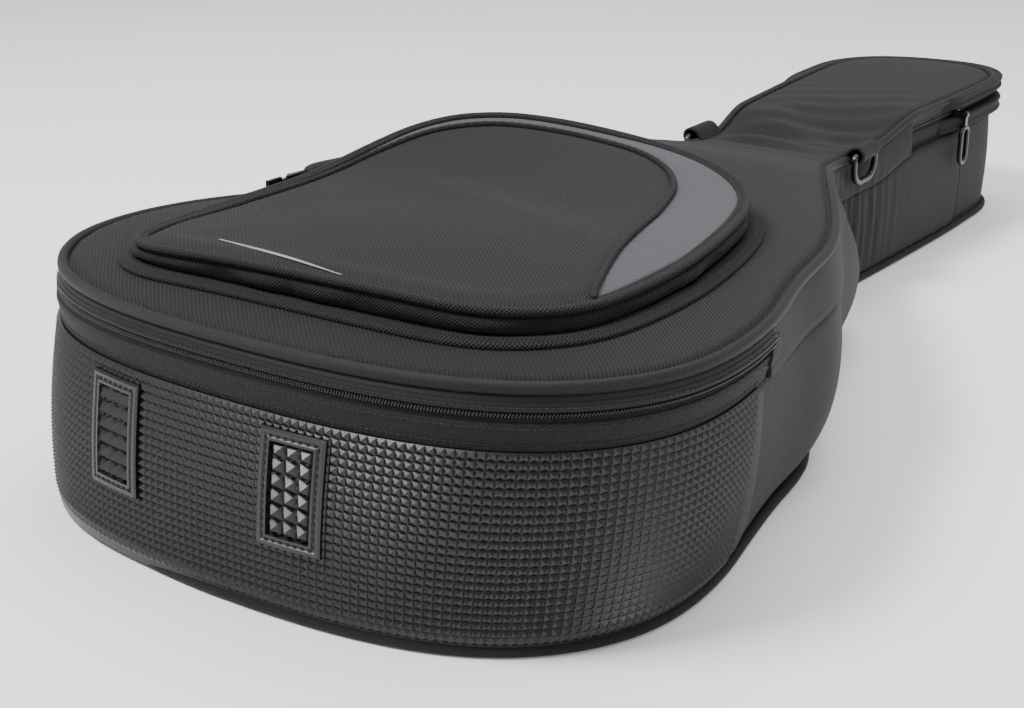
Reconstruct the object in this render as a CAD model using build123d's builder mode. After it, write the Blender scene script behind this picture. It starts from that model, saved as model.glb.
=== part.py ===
from build123d import *
import os
from math import cos, sin, atan2, degrees, hypot

os.makedirs("parts", exist_ok=True)

# Padded gig bag for an acoustic guitar, lying on its back, lid up.
# Origin: on the floor under the middle of the whole bag. +Z up, +Y towards the
# headstock end. All lengths are in millimetres. The pieces are drawn with the
# middle of the bottom seam at zero and moved to the origin as they are saved.

# half width of the bag against the distance from its bottom end
HALF_OUTLINE = [
    (0, 0), (90, 6), (165, 34), (208, 86), (218, 145), (212, 203), (199, 264),
    (190, 326), (170, 388), (143, 450), (117, 508), (97, 556), (79, 606),
    (69, 662), (72, 740), (79, 830), (84, 910), (86, 975), (81, 1030),
    (58, 1064), (0, 1080),
]

WALL = 10.0              # padded side wall
BACK_THICKNESS = 8.0
ORIGIN_Y = 539.58        # from the bottom seam to the origin
LID_THICKNESS = 6.0
LINING = 2.0
SEAM_GAP = 0.1           # between layers that lie on each other
ZIP_BODY = 137.0         # height of the zip line along the body
ZIP_NECK = 106.0         # along the neck
ZIP_HEAD = 122.0         # around the headstock
ZIP_GAP = 0.25           # half the space between the two rows of coil
BINDING_LOW = -20.0      # the levels below are measured from the zip line
BINDING_HIGH = -6.0
TAPE_EDGE = 2.5
LIP_LOW = 6.0
PIPING_LOW = 10.0
PIPING_HIGH = 16.0
ROLL = 8.0               # how far the headstock rolls stand out
BUMPER_THICKNESS = 4.0
FOOT_WIDTH = 42.0
FOOT_LOW, FOOT_HIGH = 44.0, 110.0
FOOT_CENTRES = (-92.0, 42.0)   # along the wall from the bottom centre
SEAM_Y = 172.0           # where the bumper's panel ends on either side
ZIP_START_Y = 188.0      # lower end of the zip on the right
ZIP_END_Y = 866.0        # headstock end of the zip on the right
BOUT_END_Y = 606.0       # bout walls meet neck walls here
NECK_END_Y = 928.0       # neck walls meet the headstock wall here

POCKET_HALF = [
    (0, 50), (70, 51), (122, 60), (150, 86), (162, 132), (163, 190),
    (158, 245), (148, 298), (130, 340), (100, 369), (56, 385), (0, 390),
]
POCKET_FLANGE = 14.0
POCKET_WALL = 4.0
LID_TOP = ZIP_BODY + PIPING_HIGH
FLANGE_TOP = LID_TOP + 3.0
POCKET_ZIP = FLANGE_TOP + 9.0
RIM_LOW = POCKET_ZIP + 3.0
RIM_HIGH = RIM_LOW + 6.0
CROWN_TOP = 191.0
# the seam between the black and the grey cloth on the pocket
ACCENT_SEAM = [
    (150, 84), (135, 152), (121, 204), (111, 252), (98, 297), (77, 328),
    (49, 346), (15, 357), (-30, 359), (-74, 349), (-104, 326), (-124, 290),
    (-137, 245), (-145, 190), (-145, 130), (-136, 84),
]
SEAM_CORD = 3.0

RING_Y = 686.0
RING_WIDTH = 42.0
RING_DROP = 24.0
RING_WIRE = 2.5
TAB_WIDTH = 38.0
SLIDER_Y = 902.0
HANDLE_ENDS_Y = (268.0, 404.0)
HANDLE_STAND = 20.0      # from the chord between its anchors
HANDLE_LOW, HANDLE_HIGH = 104.0, 156.0

# ---------------------------------------------------------------- outlines


def closed_spline(half):
    other = [(-x, y) for x, y in half[1:-1]][::-1]
    with BuildLine(mode=Mode.PRIVATE) as line:
        Spline(*half, *other, periodic=True)
    return line.edges()[0]


class Outline:
    """A closed seam line, read by its length from the bottom centre."""

    def __init__(self, half, step):
        self.edge = closed_spline(half)
        self.length = self.edge.length
        self.step = step

    def at(self, s, out=0.0):
        u = (s % self.length) / self.length
        p = self.edge.position_at(u)
        t = self.edge.tangent_at(u)
        return (p.X + t.Y * out, p.Y - t.X * out)

    def station(self, y, left=False):
        low, high = 0.0, self.length / 2
        for _ in range(40):
            mid = (low + high) / 2
            if self.at(mid)[1] < y:
                low = mid
            else:
                high = mid
        return self.length - low if left else low

    def run(self, start, stop, out):
        count = max(3, round((stop - start) / self.step))
        return [self.at(start + (stop - start) * i / count, out)
                for i in range(count + 1)]

    def loop(self, out, count):
        return [self.at(self.length * i / count, out) for i in range(count)]


bag = Outline(HALF_OUTLINE, 24.0)
pocket = Outline(POCKET_HALF, 30.0)


def strip_face(line, start, stop, inner, outer):
    """Face between two offsets of a seam line, from one station to another."""
    with BuildLine() as edges:
        far = Spline(*line.run(start, stop, outer))
        near = Spline(*line.run(start, stop, inner))
        Line(far @ 0, near @ 0)
        Line(far @ 1, near @ 1)
    make_face(edges.edges())


def loop_face(line, out, count, mode=Mode.ADD):
    with BuildLine() as edges:
        Spline(*line.loop(out, count), periodic=True)
    make_face(edges.edges(), mode=mode)


def level(kind, value):
    """Corner points and the curve of one height line along the bag."""
    if kind == "flat":
        Line((-60, value), (1160, value))
        return
    Line((-60, ZIP_BODY + value), (480, ZIP_BODY + value))
    Spline((480, ZIP_BODY + value), (680, ZIP_NECK + value),
           tangents=((1, 0), (1, 0)))
    Line((680, ZIP_NECK + value), (850, ZIP_NECK + value))
    Spline((850, ZIP_NECK + value), (930, ZIP_HEAD + value),
           tangents=((1, 0), (1, 0)))
    Line((930, ZIP_HEAD + value), (1160, ZIP_HEAD + value))


def ends(kind, value):
    if kind == "flat":
        return value, value
    return ZIP_BODY + value, ZIP_HEAD + value


def keep_between(low, high):
    """Cut the part to the space between two height lines."""
    with BuildSketch(Plane.YZ) as profile:
        with BuildLine():
            level(*low)
            level(*high)
            Line((-60, ends(*low)[0]), (-60, ends(*high)[0]))
            Line((1160, ends(*low)[1]), (1160, ends(*high)[1]))
        make_face()
    extrude(profile.sketch, amount=320, both=True, mode=Mode.INTERSECT)


def wall(start, stop, inner, outer, low, high):
    """A strip of wall that follows the outline between two height lines."""
    if low[0] == "flat" and high[0] == "flat":
        with BuildSketch(Plane.XY.offset(low[1])) as strip:
            strip_face(bag, start, stop, inner, outer)
        extrude(strip.sketch, amount=high[1] - low[1])
        return
    with BuildSketch(Plane.XY) as strip:
        strip_face(bag, start, stop, inner, outer)
    extrude(strip.sketch, amount=220)
    keep_between(low, high)


def save(part, name):
    part = part.moved(Location((0, -ORIGIN_Y, 0)))
    part.label = name
    export_step(part, "parts/" + name + ".step")


seam_right = bag.station(SEAM_Y)
seam_left = bag.station(SEAM_Y, left=True) - bag.length
bout_right = bag.station(BOUT_END_Y)
bout_left = bag.station(BOUT_END_Y, left=True)
neck_right = bag.station(NECK_END_Y)
neck_left = bag.station(NECK_END_Y, left=True)
zip_first = bag.station(ZIP_END_Y)                      # headstock end
zip_last = bag.length + bag.station(ZIP_START_Y)        # lower end
hinge_first = bag.station(ZIP_START_Y)
hinge_last = bag.station(ZIP_END_Y)
FLAT = "flat"
ZIP = "zip"

# ---------------------------------------------------------------- base

with BuildPart() as back_panel:
    with BuildSketch():
        loop_face(bag, -WALL - SEAM_GAP, 96)
    extrude(amount=BACK_THICKNESS)
    fillet(back_panel.faces().sort_by(Axis.Z)[0].edges(), 1.5)
save(back_panel.part, "back_panel")

with BuildPart() as back_piping:
    with BuildSketch():
        loop_face(bag, 4, 110)
        loop_face(bag, -WALL, 96, mode=Mode.SUBTRACT)
    extrude(amount=BACK_THICKNESS)
save(back_piping.part, "back_piping")

with BuildPart() as lining_back:
    with BuildSketch(Plane.XY.offset(BACK_THICKNESS)):
        loop_face(bag, -WALL - SEAM_GAP, 96)
    extrude(amount=LINING)
save(lining_back.part, "lining_back")

wall_low = (FLAT, BACK_THICKNESS)
wall_high = (ZIP, BINDING_LOW)

with BuildPart() as gusset_bottom:
    wall(seam_left, seam_right, -WALL, 0, wall_low,
         (FLAT, ZIP_BODY + BINDING_LOW))
save(gusset_bottom.part, "gusset_bottom")

with BuildPart() as gusset_right_bout:
    wall(seam_right, bout_right, -WALL, 0, wall_low, wall_high)
save(gusset_right_bout.part, "gusset_right_bout")

with BuildPart() as gusset_left_bout:
    wall(bout_left, bag.length + seam_left, -WALL, 0, wall_low, wall_high)
save(gusset_left_bout.part, "gusset_left_bout")

with BuildPart() as gusset_right_neck:
    wall(bout_right, neck_right, -WALL, 0, wall_low, wall_high)
save(gusset_right_neck.part, "gusset_right_neck")

with BuildPart() as gusset_left_neck:
    wall(neck_left, bout_left, -WALL, 0, wall_low, wall_high)
save(gusset_left_neck.part, "gusset_left_neck")

with BuildPart() as gusset_headstock:
    wall(neck_right, neck_left, -WALL, 0, wall_low, wall_high)
save(gusset_headstock.part, "gusset_headstock")

# moulded panel around the lower end, with its two feet
bumper_top = ZIP_BODY + BINDING_LOW
with BuildPart() as end_bumper:
    wall(seam_left, seam_right, SEAM_GAP, BUMPER_THICKNESS, wall_low,
         (FLAT, bumper_top))
save(end_bumper.part, "end_bumper")


def foot(centre):
    """Rectangular foot: a frame, a groove and a raised pad."""
    base = BUMPER_THICKNESS + SEAM_GAP
    half = FOOT_WIDTH / 2
    wall(centre - half, centre + half, base, base + 2.5,
         (FLAT, FOOT_LOW), (FLAT, FOOT_HIGH))
    with BuildSketch(Plane.XY.offset(FOOT_LOW + 4)) as raised:
        strip_face(bag, centre - half + 4, centre + half - 4,
                   base + 1.2, base + 4.8)
    extrude(raised.sketch, amount=FOOT_HIGH - FOOT_LOW - 8)


with BuildPart() as bumper_foot_left:
    foot(FOOT_CENTRES[0])
save(bumper_foot_left.part, "bumper_foot_left")

with BuildPart() as bumper_foot_right:
    foot(FOOT_CENTRES[1])
save(bumper_foot_right.part, "bumper_foot_right")

with BuildPart() as seam_binding_right:
    wall(seam_right + 0.2, seam_right + 16, SEAM_GAP, 3, wall_low,
         (FLAT, bumper_top))
save(seam_binding_right.part, "seam_binding_right")

with BuildPart() as seam_binding_left:
    wall(seam_left - 16, seam_left - 0.2, SEAM_GAP, 3, wall_low,
         (FLAT, bumper_top))
save(seam_binding_left.part, "seam_binding_left")

with BuildPart() as base_binding:
    wall(zip_first, zip_last, -WALL, 1, (ZIP, BINDING_LOW),
         (ZIP, BINDING_HIGH))
save(base_binding.part, "base_binding")

with BuildPart() as base_zip_tape:
    wall(zip_first, zip_last, -3.5, -1.5, (ZIP, BINDING_HIGH),
         (ZIP, -TAPE_EDGE))
save(base_zip_tape.part, "base_zip_tape")

with BuildPart() as base_zip_coil:
    wall(zip_first, zip_last, -4.5, -0.5, (ZIP, -TAPE_EDGE),
         (ZIP, -ZIP_GAP))
save(base_zip_coil.part, "base_zip_coil")

# cloth that joins base and lid where there is no zip
with BuildPart() as hinge_strip:
    wall(hinge_first + 9, hinge_last - 1, -3, 0, (ZIP, BINDING_LOW),
         (ZIP, PIPING_LOW - 0.5))
save(hinge_strip.part, "hinge_strip")

with BuildPart() as headstock_rim:
    wall(zip_first + 6, bag.length - bag.station(ZIP_END_Y + 6), 1 + SEAM_GAP,
         ROLL, (ZIP, -16), (ZIP, -4))
save(headstock_rim.part, "headstock_rim")

panel_low = (FLAT, BACK_THICKNESS + 1)
panel_high = (ZIP, BINDING_LOW - 1)
with BuildPart() as neck_panel_right:
    wall(bag.station(634), bag.station(922), SEAM_GAP, 2.6, panel_low,
         panel_high)
save(neck_panel_right.part, "neck_panel_right")

with BuildPart() as neck_panel_left:
    wall(bag.station(922, left=True), bag.station(634, left=True), SEAM_GAP,
         2.6, panel_low, panel_high)
save(neck_panel_left.part, "neck_panel_left")

with BuildPart() as zip_end_tab:
    wall(hinge_first - 8, hinge_first + 8, 1 + SEAM_GAP, 4,
         (FLAT, ZIP_BODY - 15), (FLAT, ZIP_BODY - 0.6))
save(zip_end_tab.part, "zip_end_tab")

# ---------------------------------------------------------------- inside

with BuildPart() as end_pad:
    wall(-95, 95, -WALL - 10, -WALL - SEAM_GAP,
         (FLAT, BACK_THICKNESS + LINING), (FLAT, 104))
save(end_pad.part, "end_pad")

REST_Y, REST_DEPTH, REST_WIDTH, REST_HEIGHT = 720.0, 56.0, 112.0, 56.0
rest_low = BACK_THICKNESS + LINING
with BuildPart() as neck_rest:
    with BuildSketch(Plane.XZ.offset(-REST_Y - REST_DEPTH / 2)):
        with Locations((0, rest_low + REST_HEIGHT / 2)):
            Rectangle(REST_WIDTH, REST_HEIGHT)
        with Locations((0, rest_low + REST_HEIGHT)):
            Ellipse(36, 28, mode=Mode.SUBTRACT)
    extrude(amount=REST_DEPTH)
    fillet(neck_rest.edges().filter_by(Axis.Z), 6)
save(neck_rest.part, "neck_rest")

with BuildPart() as headstock_pad:
    wall(bag.length / 2 - 48, bag.length / 2 + 48, -WALL - 10,
         -WALL - SEAM_GAP, (FLAT, BACK_THICKNESS + LINING), (FLAT, 90))
save(headstock_pad.part, "headstock_pad")

STRAP_LOW = rest_low + REST_HEIGHT + 0.5
with BuildPart() as neck_strap:
    with BuildSketch(Plane.XY.offset(STRAP_LOW)):
        with Locations((0, REST_Y)):
            RectangleRounded(108, 32, 5)
    extrude(amount=2.5)
    with BuildSketch(Plane.XY.offset(STRAP_LOW + 2.5)):
        with Locations((34, REST_Y)):
            RectangleRounded(34, 26, 3)
    extrude(amount=1.5)
save(neck_strap.part, "neck_strap")

# ---------------------------------------------------------------- lid

with BuildPart() as lid_panel:
    with BuildSketch():
        loop_face(bag, -4 - SEAM_GAP, 110)
    extrude(amount=220)
    keep_between((ZIP, PIPING_LOW), (ZIP, PIPING_HIGH))
save(lid_panel.part, "lid_panel")

with BuildPart() as lining_lid:
    with BuildSketch():
        loop_face(bag, -8 - SEAM_GAP, 110)
    extrude(amount=220)
    keep_between((ZIP, PIPING_LOW - LINING), (ZIP, PIPING_LOW))
save(lining_lid.part, "lining_lid")

with BuildPart() as lid_piping:
    with BuildSketch():
        loop_face(bag, 3, 110)
        loop_face(bag, -4, 110, mode=Mode.SUBTRACT)
    extrude(amount=220)
    keep_between((ZIP, PIPING_LOW), (ZIP, PIPING_HIGH))
save(lid_piping.part, "lid_piping")

with BuildPart() as lid_lip_band:
    wall(zip_first, zip_last, -8, 0, (ZIP, LIP_LOW), (ZIP, PIPING_LOW))
save(lid_lip_band.part, "lid_lip_band")

with BuildPart() as lid_zip_tape:
    wall(zip_first, zip_last, -3.5, -1.5, (ZIP, TAPE_EDGE), (ZIP, LIP_LOW))
save(lid_zip_tape.part, "lid_zip_tape")

with BuildPart() as lid_zip_coil:
    wall(zip_first, zip_last, -4.5, -0.5, (ZIP, ZIP_GAP), (ZIP, TAPE_EDGE))
save(lid_zip_coil.part, "lid_zip_coil")

with BuildPart() as headstock_lid_roll:
    wall(zip_first + 6, bag.length - bag.station(ZIP_END_Y + 6),
         3 + SEAM_GAP, ROLL, (ZIP, 7), (ZIP, PIPING_HIGH))
save(headstock_lid_roll.part, "headstock_lid_roll")

# ------------------------------------------------- accessory pocket, lower

with BuildPart() as pocket_flange:
    with BuildSketch(Plane.XY.offset(LID_TOP)):
        loop_face(pocket, POCKET_FLANGE, 60)
        loop_face(pocket, -POCKET_WALL, 60, mode=Mode.SUBTRACT)
    extrude(amount=FLANGE_TOP - LID_TOP)
    fillet(pocket_flange.faces().sort_by(Axis.Z)[-1].outer_wire().edges(), 1.2)
save(pocket_flange.part, "pocket_flange")

with BuildPart() as pocket_gusset:
    with BuildSketch(Plane.XY.offset(FLANGE_TOP)):
        loop_face(pocket, 0, 60)
        loop_face(pocket, -POCKET_WALL, 60, mode=Mode.SUBTRACT)
    extrude(amount=POCKET_ZIP - TAPE_EDGE - FLANGE_TOP)
save(pocket_gusset.part, "pocket_gusset")

with BuildPart() as pocket_zip_lower:
    with BuildSketch(Plane.XY.offset(POCKET_ZIP - TAPE_EDGE)):
        loop_face(pocket, -0.8, 60)
        loop_face(pocket, -POCKET_WALL, 60, mode=Mode.SUBTRACT)
    extrude(amount=TAPE_EDGE - ZIP_GAP)
save(pocket_zip_lower.part, "pocket_zip_lower")

# ------------------------------------------------- accessory pocket, cover

with BuildPart() as pocket_zip_upper:
    with BuildSketch(Plane.XY.offset(POCKET_ZIP + ZIP_GAP)):
        loop_face(pocket, -0.8, 60)
        loop_face(pocket, -POCKET_WALL, 60, mode=Mode.SUBTRACT)
    extrude(amount=RIM_LOW - POCKET_ZIP - ZIP_GAP)
save(pocket_zip_upper.part, "pocket_zip_upper")

with BuildPart() as pocket_rim_piping:
    with BuildSketch(Plane.XY.offset(RIM_LOW)):
        loop_face(pocket, 1, 60)
        loop_face(pocket, -POCKET_WALL - 2, 60, mode=Mode.SUBTRACT)
    extrude(amount=RIM_HIGH - RIM_LOW)
save(pocket_rim_piping.part, "pocket_rim_piping")


def dome(shrink, drop):
    """Crowned shape of the pocket's top, as a solid."""
    sections = []
    middle = 230
    for z, size in ((RIM_LOW + 0.5, 0.955), (RIM_LOW + 12, 0.86),
                    (CROWN_TOP, 0.56)):
        size = size - shrink / 165
        with BuildSketch(Plane.XY.offset(z - drop)) as section:
            with BuildLine() as line:
                Spline(*[(x * size, middle + (y - middle) * size)
                         for x, y in pocket.loop(0, 40)], periodic=True)
            make_face(line.edges())
        sections.append(section.sketch)
    loft(sections)


def black_area(out, mode=Mode.ADD):
    """Plan of the black cloth, grown by out."""
    near = [(-110, 30), (0, 20), (122, 30)]
    points = ACCENT_SEAM + near
    with BuildLine(mode=Mode.PRIVATE) as line:
        Spline(*points, periodic=True)
    edge = line.edges()[0]
    grown = []
    for i in range(64):
        p = edge.position_at(i / 64)
        t = edge.tangent_at(i / 64)
        grown.append((p.X + t.Y * out, p.Y - t.X * out))
    with BuildLine() as grown_line:
        Spline(*grown, periodic=True)
    make_face(grown_line.edges(), mode=mode)


with BuildPart(mode=Mode.PRIVATE) as hollow:
    dome(4, 4)

with BuildPart() as pocket_top_panel:
    dome(0, 0)
    with BuildSketch(Plane.XY.offset(150)):
        black_area(0)
    extrude(amount=60, mode=Mode.INTERSECT)
    add(hollow.part, mode=Mode.SUBTRACT)
save(pocket_top_panel.part, "pocket_top_panel")

with BuildPart() as pocket_accent_panel:
    dome(0, 0)
    with BuildSketch(Plane.XY.offset(150)):
        black_area(SEAM_CORD)
    extrude(amount=60, mode=Mode.SUBTRACT)
    add(hollow.part, mode=Mode.SUBTRACT)
save(pocket_accent_panel.part, "pocket_accent_panel")

with BuildPart() as pocket_inner_piping:
    dome(0, -1.5)
    with BuildSketch(Plane.XY.offset(150)):
        black_area(SEAM_CORD - SEAM_GAP)
        black_area(SEAM_GAP, mode=Mode.SUBTRACT)
    extrude(amount=60, mode=Mode.INTERSECT)
    with BuildSketch(Plane.XY.offset(RIM_HIGH)):
        Rectangle(600, 1200)
    extrude(amount=40, mode=Mode.INTERSECT)
    add(hollow.part, mode=Mode.SUBTRACT)
save(pocket_inner_piping.part, "pocket_inner_piping")

# ---------------------------------------------------------------- D-rings

ring_x = bag.at(bag.station(RING_Y))[0]
TAB_TOP = ZIP_NECK + PIPING_HIGH + 0.4
bar_x = ring_x + 9.4
bar_z = TAB_TOP + 1.0


def ring_tab(side):
    """Webbing stitched on the lid's edge and folded around a ring's bar."""
    with BuildSketch(Plane.XY.offset(TAB_TOP)) as flat:
        with Locations((side * (ring_x - 9), RING_Y)):
            Rectangle(30, TAB_WIDTH)
    extrude(flat.sketch, amount=3)
    across = Plane.XZ.offset(-RING_Y - TAB_WIDTH / 2)
    with BuildSketch(across) as fold:
        with Locations((side * bar_x, bar_z)):
            Circle(RING_WIRE + 2.5)
    extrude(fold.sketch, amount=TAB_WIDTH)
    with BuildSketch(across) as bore:
        with Locations((side * bar_x, bar_z)):
            Circle(RING_WIRE + 0.6)
    extrude(bore.sketch, amount=TAB_WIDTH, mode=Mode.SUBTRACT)


def wire_ring(x, y, top, width, drop, wire, corner, bottom):
    """Closed ring of round wire in an upright plane along the bag.

    The width and drop run to the wire's centre line."""
    with BuildPart(mode=Mode.PRIVATE) as ring:
        for out, mode in ((wire, Mode.ADD), (-wire, Mode.SUBTRACT)):
            with BuildSketch(Plane.YZ.offset(x)) as face:
                with Locations((y, top - drop / 2)):
                    Rectangle(width + 2 * out, drop + 2 * out)
                fillet(face.vertices().group_by(Axis.Y)[-1], corner + out)
                fillet(face.vertices().group_by(Axis.Y)[0], bottom + out)
            extrude(amount=wire, both=True, mode=mode)
        fillet(ring.faces().filter_by(Axis.X).edges(), wire * 0.75)
    return ring.part


with BuildPart() as d_ring_tab_left:
    ring_tab(-1)
save(d_ring_tab_left.part, "d_ring_tab_left")

with BuildPart() as d_ring_tab_right:
    ring_tab(1)
save(d_ring_tab_right.part, "d_ring_tab_right")

with BuildPart() as d_ring_left:
    add(wire_ring(-bar_x, RING_Y, bar_z, RING_WIDTH + 2 * RING_WIRE,
                  RING_DROP, RING_WIRE, 4.0, 15.0))
save(d_ring_left.part, "d_ring_left")

with BuildPart() as d_ring_right:
    add(wire_ring(bar_x, RING_Y, bar_z, RING_WIDTH + 2 * RING_WIRE,
                  RING_DROP, RING_WIRE, 4.0, 15.0))
save(d_ring_right.part, "d_ring_right")

# ---------------------------------------------------------------- sliders

slider_x = bag.at(bag.station(SLIDER_Y))[0]
SLIDER_LENGTH = 14.0
pin_x = slider_x + 11.5
slider_z = 119.0

with BuildPart() as main_slider:
    with Locations((slider_x + 2.2, SLIDER_Y, slider_z)):
        Box(2.4, SLIDER_LENGTH, 6.4)
    with Locations((slider_x + 7.0, SLIDER_Y - 5, slider_z),
                   (slider_x + 7.0, SLIDER_Y + 5, slider_z)):
        Box(9.0, 2.0, 4.0)
    with Locations((pin_x, SLIDER_Y, slider_z)):
        Cylinder(1.2, 12.0, rotation=(90, 0, 0))
save(main_slider.part, "main_slider")

PULL_DROP = 48.0
with BuildPart() as main_puller:
    with BuildSketch(Plane.XZ.offset(-SLIDER_Y - 3.5)):
        with Locations((pin_x, slider_z)):
            Circle(2.8)
        with Locations((pin_x, slider_z - 7)):
            Rectangle(3, 10)
        with Locations((pin_x, slider_z)):
            Circle(1.7, mode=Mode.SUBTRACT)
    extrude(amount=7.0)
    add(wire_ring(pin_x, SLIDER_Y, slider_z - 12.6, 18, PULL_DROP - 14, 2.2,
                  7.0, 9.0))
save(main_puller.part, "main_puller")

PULL_Y = 236.0
pull_x = -pocket.at(pocket.station(PULL_Y))[0]
with BuildPart() as pocket_slider:
    with Locations((pull_x - 3.0, PULL_Y, POCKET_ZIP)):
        Box(2.4, 14.0, 9.0)
    with Locations((pull_x - 5.4, PULL_Y, POCKET_ZIP - 3.2),
                   (pull_x - 5.4, PULL_Y, POCKET_ZIP + 3.2)):
        Box(5.0, 4.0, 1.6)
    with Locations((pull_x - 6.4, PULL_Y, POCKET_ZIP)):
        Cylinder(1.0, 7.6)
save(pocket_slider.part, "pocket_slider")

with BuildPart() as pocket_puller:
    with BuildSketch(Plane.XY.offset(POCKET_ZIP - 2.0)):
        with Locations((pull_x - 6.4, PULL_Y)):
            Circle(2.0)
        with Locations((pull_x - 6.4, PULL_Y - 12)):
            RectangleRounded(2.6, 24, 1.0)
        with Locations((pull_x - 6.4, PULL_Y)):
            Circle(1.4, mode=Mode.SUBTRACT)
    extrude(amount=4.0)
    with Locations((pull_x - 6.4, PULL_Y - 17, POCKET_ZIP)):
        Box(2.6, 14, 8)
save(pocket_puller.part, "pocket_puller")

# ---------------------------------------------------------------- handle

first = bag.at(bag.station(HANDLE_ENDS_Y[0], left=True))
last = bag.at(bag.station(HANDLE_ENDS_Y[1], left=True))
chord = (last[0] - first[0], last[1] - first[1])
span = hypot(*chord)
along = (chord[0] / span, chord[1] / span)
outward = (-along[1], along[0])
middle = ((first[0] + last[0]) / 2, (first[1] + last[1]) / 2)
handle_plane = Plane(
    origin=(middle[0] + outward[0] * HANDLE_STAND,
            middle[1] + outward[1] * HANDLE_STAND, HANDLE_LOW),
    x_dir=(along[0], along[1], 0), z_dir=(-outward[0], -outward[1], 0))
# in this plane x runs along the chord and y is up or down
up = 1 if handle_plane.y_dir.Z > 0 else -1
rise = (HANDLE_HIGH - HANDLE_LOW - 14) * up

with BuildPart() as handle_strap:
    with BuildSketch(handle_plane):
        with BuildLine():
            FilletPolyline((-span / 2, 0), (-span / 2, rise),
                           (span / 2, rise), (span / 2, 0), radius=26)
        trace(line_width=20)
    extrude(amount=2.0, both=True)
save(handle_strap.part, "handle_strap")

with BuildPart() as handle_grip:
    with BuildSketch(handle_plane):
        with Locations((0, rise)):
            RectangleRounded(78, 28, 8)
    extrude(amount=6.5, both=True)
    add(handle_strap.part, mode=Mode.SUBTRACT)
save(handle_grip.part, "handle_grip")


def handle_anchor(y):
    """Webbing patch on the wall that holds one end of the handle."""
    s = bag.station(y, left=True)
    wall(s - 14, s + 14, SEAM_GAP, 3, (FLAT, 56), (FLAT, 96))


with BuildPart() as handle_anchor_front:
    handle_anchor(HANDLE_ENDS_Y[0])
save(handle_anchor_front.part, "handle_anchor_front")

with BuildPart() as handle_anchor_rear:
    handle_anchor(HANDLE_ENDS_Y[1])
save(handle_anchor_rear.part, "handle_anchor_rear")

for name, value in (
        ("perimeter", bag.length), ("ring x", bar_x), ("ring z", bar_z),
        ("pin x", pin_x), ("pin z", slider_z), ("pull x", pull_x - 6.4),
        ("handle middle", middle), ("handle along", along),
        ("handle outward", outward), ("handle span", span)):
    print(name, value)
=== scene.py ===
import math

import bpy
import numpy as np
from mathutils import Matrix, Vector
from mathutils.kdtree import KDTree


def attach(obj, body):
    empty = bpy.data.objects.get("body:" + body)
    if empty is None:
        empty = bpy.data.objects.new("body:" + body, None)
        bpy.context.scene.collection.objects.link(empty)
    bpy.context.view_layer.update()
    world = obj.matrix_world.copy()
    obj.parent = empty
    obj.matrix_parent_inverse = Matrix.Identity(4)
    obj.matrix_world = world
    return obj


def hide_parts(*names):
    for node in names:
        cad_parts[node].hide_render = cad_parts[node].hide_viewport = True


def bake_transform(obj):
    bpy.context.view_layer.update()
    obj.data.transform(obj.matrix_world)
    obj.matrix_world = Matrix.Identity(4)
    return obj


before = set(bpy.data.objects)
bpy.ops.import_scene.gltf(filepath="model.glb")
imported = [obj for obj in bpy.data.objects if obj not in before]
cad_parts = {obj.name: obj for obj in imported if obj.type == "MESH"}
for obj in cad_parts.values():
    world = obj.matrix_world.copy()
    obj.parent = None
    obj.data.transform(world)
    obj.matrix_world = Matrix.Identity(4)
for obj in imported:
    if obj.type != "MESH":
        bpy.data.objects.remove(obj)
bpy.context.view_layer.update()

# Lengths are in millimetres until a mesh is made, and y is measured from the
# seam at the bottom end. A station is a distance along the bag's outline, from
# the middle of the bottom end towards the right.
ORIGIN_Y = 539.58
TAU = 2 * math.pi

HALF_OUTLINE = [
    (0, 0), (90, 6), (165, 34), (208, 86), (218, 145), (212, 203), (199, 264),
    (190, 326), (170, 388), (143, 450), (117, 508), (97, 556), (79, 606),
    (69, 662), (72, 740), (79, 830), (84, 910), (86, 975), (81, 1030),
    (58, 1064), (0, 1080),
]
ZIP_HEIGHT = 137.0   # of the zip line round the lower bout
NECK_DROP = 31.0     # how far the zip line falls towards the neck
HEAD_STEP = 14.5     # how far it climbs again to the headstock
WALL_LOW = 8.0       # lower edge of the side walls
WALL_TOP = -20.0     # their upper edge, from the zip line
JOIN_Y = 606         # where bout wall and neck wall meet
BUMPER_LOW, BUMPER_HIGH = 2.6, 117.0


def smooth(a, b, t):
    s = np.clip((np.asarray(t, float) - a) / (b - a), 0, 1)
    return s * s * (3 - 2 * s)


def bump(t, centre, width):
    return np.exp(-((np.asarray(t, float) - centre) / width) ** 2)


def nearest(xy, line):
    """Distance from each point to the nearest point of a line."""
    tree = KDTree(len(line))
    for i, point in enumerate(line):
        tree.insert((point[0], point[1], 0), i)
    tree.balance()
    return np.array([tree.find((x, y, 0))[2] for x, y in xy])


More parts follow.
